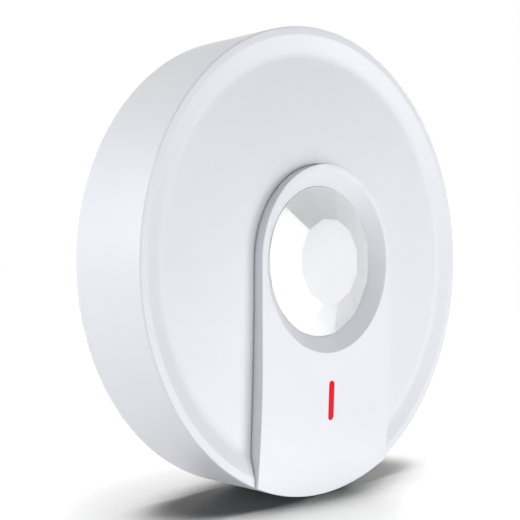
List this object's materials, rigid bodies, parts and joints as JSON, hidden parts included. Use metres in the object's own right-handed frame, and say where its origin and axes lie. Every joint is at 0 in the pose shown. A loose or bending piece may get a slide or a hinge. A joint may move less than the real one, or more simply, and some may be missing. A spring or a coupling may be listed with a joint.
{
  "type": "ceiling motion detector",
  "caption": "Round battery-powered ceiling motion detector with a keyhole fascia, faceted lens, indicator slit and a twist-off mounting plate.",
  "frame": {"origin": "centre of the mounting plate's rear face, where the detector's axis meets the ceiling", "axes": "+Y out of the back, into the ceiling; the face looks along -Y; +Z from the indicator slit towards the lens, up as pictured; +X to the right as seen from the room"},
  "size_m": [0.11, 0.0255, 0.11],
  "materials": {
    "housing_white": "satin",
    "fascia_white": "satin",
    "lens_polyethylene": "satin",
    "red_light_pipe": "gloss",
    "inner_plastic": "satin",
    "circuit_board_green": "satin",
    "tinned_can": "satin",
    "sensor_filter": "gloss",
    "lamp_body": "gloss",
    "plated_screw": "satin",
    "copper_wire": "satin",
    "black_package": "matte",
    "capacitor_sleeve": "satin",
    "nickel_contact": "satin",
    "cell_sleeve": "satin",
    "control_black": "satin",
    "control_grey": "satin",
    "plunger_white": "satin"
  },
  "bodies": {
    "ceiling_plate": {"mounting_plate": "housing_white"},
    "detector": {"front_housing": "housing_white", "fascia": "fascia_white", "lens": "lens_polyethylene", "lens_retainer": "inner_plastic", "light_pipe": "red_light_pipe", "rear_cover": "housing_white", "housing_screws": "plated_screw", "circuit_board": "circuit_board_green", "board_screws": "plated_screw", "sensor_collar": "inner_plastic", "sensor_can": "tinned_can", "sensor_window": "sensor_filter", "indicator_led": "lamp_body", "radio_board": "circuit_board_green", "radio_shield": "tinned_can", "antenna": "copper_wire", "controller": "black_package", "capacitors": "capacitor_sleeve", "battery_connector": "inner_plastic", "battery_lower": "cell_sleeve", "battery_upper": "cell_sleeve", "bridge_contact": "nickel_contact", "negative_contact": "nickel_contact", "positive_contact": "nickel_contact", "tamper_switch": "black_package", "link_switch": "black_package", "power_switch": "black_package"},
    "tamper_plunger": {"tamper_plunger": "plunger_white"},
    "link_button": {"link_button": "control_grey"},
    "power_slider": {"power_slider": "control_black"}
  },
  "joints": [
    {"name": "bayonet_twist", "type": "hinge", "parent": "ceiling_plate", "child": "detector", "pos_m": [0, 0, 0], "axis": [0, -1, 0], "range_deg": [0, 15]},
    {"name": "tamper_press", "type": "slide", "parent": "detector", "child": "tamper_plunger", "axis": [0, -1, 0], "range_m": [0, 0.0012], "stiffness_N_per_m": 400, "springref_m": -0.002},
    {"name": "link_press", "type": "slide", "parent": "detector", "child": "link_button", "axis": [0, -1, 0], "range_m": [0, 0.0006], "stiffness_N_per_m": 800, "springref_m": -0.001},
    {"name": "power_slide", "type": "slide", "parent": "detector", "child": "power_slider", "axis": [1, 0, 0], "range_m": [0, 0.002]}
  ]
}
